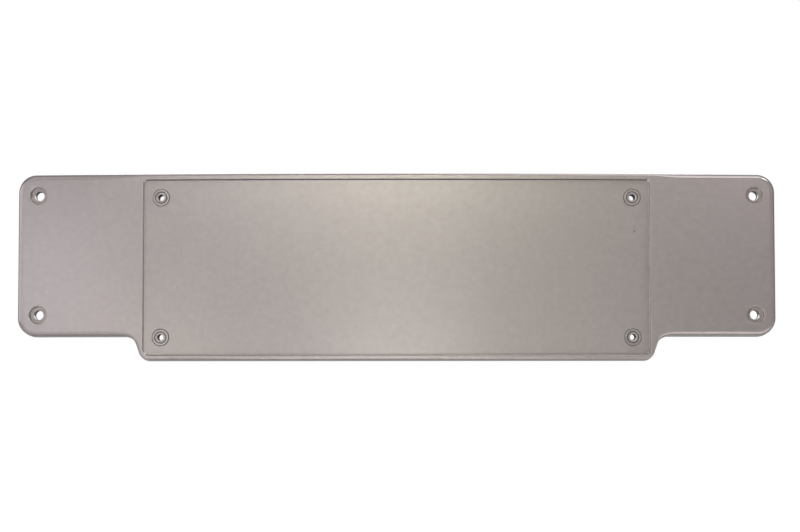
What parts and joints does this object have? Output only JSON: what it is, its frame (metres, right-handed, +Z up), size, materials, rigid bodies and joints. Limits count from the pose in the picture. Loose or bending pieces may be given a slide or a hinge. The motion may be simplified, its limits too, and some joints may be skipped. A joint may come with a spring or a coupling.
{
  "type": "number plate holder",
  "caption": "Bowed moulded holder panel with a shallow plate recess, plate screw holes and two bolt-on ears.",
  "frame": {"origin": "middle of the four ear bolt holes, on the plane of the ear bosses' back ends", "axes": "+X to the viewer's right along the panel, +Y through the panel from its front to its back, +Z up"},
  "size_m": [0.805, 0.037, 0.1985],
  "materials": {
    "satin_grey_plastic": "satin, very fine grain"
  },
  "bodies": {
    "root": {"holder_panel": "satin_grey_plastic"}
  },
  "joints": []
}
